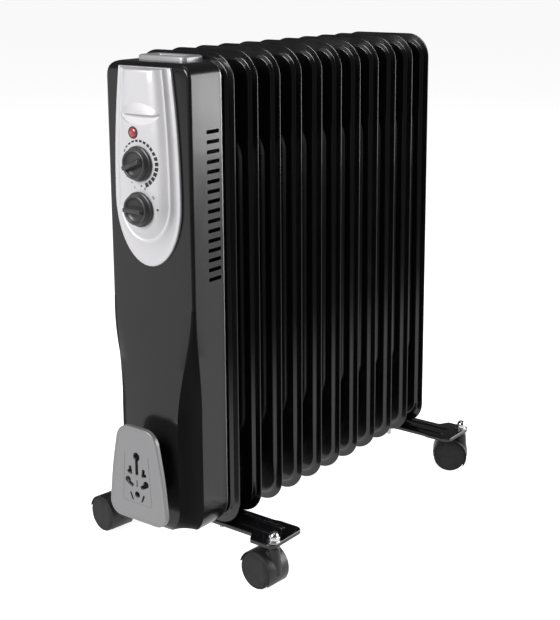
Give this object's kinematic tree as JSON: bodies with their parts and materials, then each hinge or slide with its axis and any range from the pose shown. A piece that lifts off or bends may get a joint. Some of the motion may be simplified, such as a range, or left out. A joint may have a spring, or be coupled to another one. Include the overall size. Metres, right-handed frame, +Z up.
{
  "type": "oil filled radiator heater",
  "caption": "Finned oil filled radiator on swivel casters with a control housing, two knobs, a pilot lamp, a carrying handle and a cord store.",
  "frame": {"origin": "on the floor, in the heater's middle plane and halfway along its length", "axes": "+Z up, the control panel faces -Y, the fins stack towards +Y, +X is along a fin's width"},
  "size_m": [0.323, 0.572, 0.641],
  "materials": {
    "black_enamel": "gloss baked enamel",
    "black_plastic": "gloss moulded black",
    "silver_plastic": "silver lacquered moulding",
    "knob_grey": "satin dark grey",
    "zinc_steel": "zinc plated",
    "brass": "turned brass",
    "bright_steel": "bright plated",
    "chrome_nut": "polished chrome",
    "dark_moulding": "phenolic",
    "ceramic": "cream heat-proof moulding",
    "lamp_red": "clear red lens",
    "caster_hood": "satin moulded dark grey",
    "caster_disc": "matt black"
  },
  "bodies": {
    "heater": {"fin_01": "black_enamel", "fin_02": "black_enamel", "fin_03": "black_enamel", "fin_04": "black_enamel", "fin_05": "black_enamel", "fin_06": "black_enamel", "fin_07": "black_enamel", "fin_08": "black_enamel", "fin_09": "black_enamel", "fin_10": "black_enamel", "fin_11": "black_enamel", "header_rings_top": "black_enamel", "header_rings_bottom": "black_enamel", "header_end_caps": "black_enamel", "filler_plug": "zinc_steel", "element_flange": "brass", "heating_rods": "zinc_steel", "housing_straps": "zinc_steel", "housing_back_plate": "zinc_steel", "housing_shell": "black_plastic", "housing_screws": "bright_steel", "control_fascia": "silver_plastic", "top_handle": "silver_plastic", "cord_store_post": "black_plastic", "cord_store_plate": "silver_plastic", "cable_gland": "black_plastic", "thermostat_body": "ceramic", "selector_switch": "dark_moulding", "pilot_lamp_lens": "lamp_red", "pilot_lamp_body": "ceramic", "terminal_block": "ceramic", "thermal_cutout": "dark_moulding", "foot_bracket_front": "black_enamel", "foot_bracket_rear": "black_enamel", "u_bolt_front": "bright_steel", "u_bolt_rear": "bright_steel", "wing_nuts_front": "bright_steel", "wing_nuts_rear": "bright_steel", "caster_pins": "bright_steel", "pin_washers": "zinc_steel", "dome_nuts": "chrome_nut"},
    "thermostat": {"thermostat_knob": "knob_grey", "thermostat_shaft": "bright_steel"},
    "selector": {"selector_knob": "knob_grey", "selector_shaft": "bright_steel"},
    "swivel_front_left": {"caster_hood_fl": "caster_hood"},
    "wheels_front_left": {"caster_axle_fl": "bright_steel", "caster_wheels_fl": "caster_disc"},
    "swivel_front_right": {"caster_hood_fr": "caster_hood"},
    "wheels_front_right": {"caster_axle_fr": "bright_steel", "caster_wheels_fr": "caster_disc"},
    "swivel_rear_left": {"caster_hood_rl": "caster_hood"},
    "wheels_rear_left": {"caster_axle_rl": "bright_steel", "caster_wheels_rl": "caster_disc"},
    "swivel_rear_right": {"caster_hood_rr": "caster_hood"},
    "wheels_rear_right": {"caster_axle_rr": "bright_steel", "caster_wheels_rr": "caster_disc"}
  },
  "joints": [
    {"name": "thermostat_turn", "type": "hinge", "parent": "heater", "child": "thermostat", "pos_m": [0, -0.2666, 0.518], "axis": [0, 1, 0], "range_deg": [-128, 86]},
    {"name": "selector_turn", "type": "hinge", "parent": "heater", "child": "selector", "pos_m": [0, -0.2666, 0.465], "axis": [0, 1, 0], "range_deg": [-105, 0]},
    {"name": "swivel_front_left", "type": "hinge", "parent": "heater", "child": "swivel_front_left", "pos_m": [-0.13, -0.1885, 0.04], "axis": [0, 0, 1], "continuous": true},
    {"name": "roll_front_left", "type": "hinge", "parent": "swivel_front_left", "child": "wheels_front_left", "pos_m": [-0.14584, -0.18627, 0.023], "axis": [-0.1392, -0.9903, 0], "continuous": true},
    {"name": "swivel_front_right", "type": "hinge", "parent": "heater", "child": "swivel_front_right", "pos_m": [0.13, -0.1885, 0.04], "axis": [0, 0, 1], "continuous": true},
    {"name": "roll_front_right", "type": "hinge", "parent": "swivel_front_right", "child": "wheels_front_right", "pos_m": [0.11404, -0.18738, 0.023], "axis": [-0.0698, -0.9976, 0], "continuous": true},
    {"name": "swivel_rear_left", "type": "hinge", "parent": "heater", "child": "swivel_rear_left", "pos_m": [-0.13, 0.266, 0.04], "axis": [0, 0, 1], "continuous": true},
    {"name": "roll_rear_left", "type": "hinge", "parent": "swivel_rear_left", "child": "wheels_rear_left", "pos_m": [-0.11496, 0.26053, 0.023], "axis": [0.342, 0.9397, 0], "continuous": true},
    {"name": "swivel_rear_right", "type": "hinge", "parent": "heater", "child": "swivel_rear_right", "pos_m": [0.13, 0.266, 0.04], "axis": [0, 0, 1], "continuous": true},
    {"name": "roll_rear_right", "type": "hinge", "parent": "swivel_rear_right", "child": "wheels_rear_right", "pos_m": [0.11601, 0.25824, 0.023], "axis": [0.4848, -0.8746, 0], "continuous": true}
  ]
}
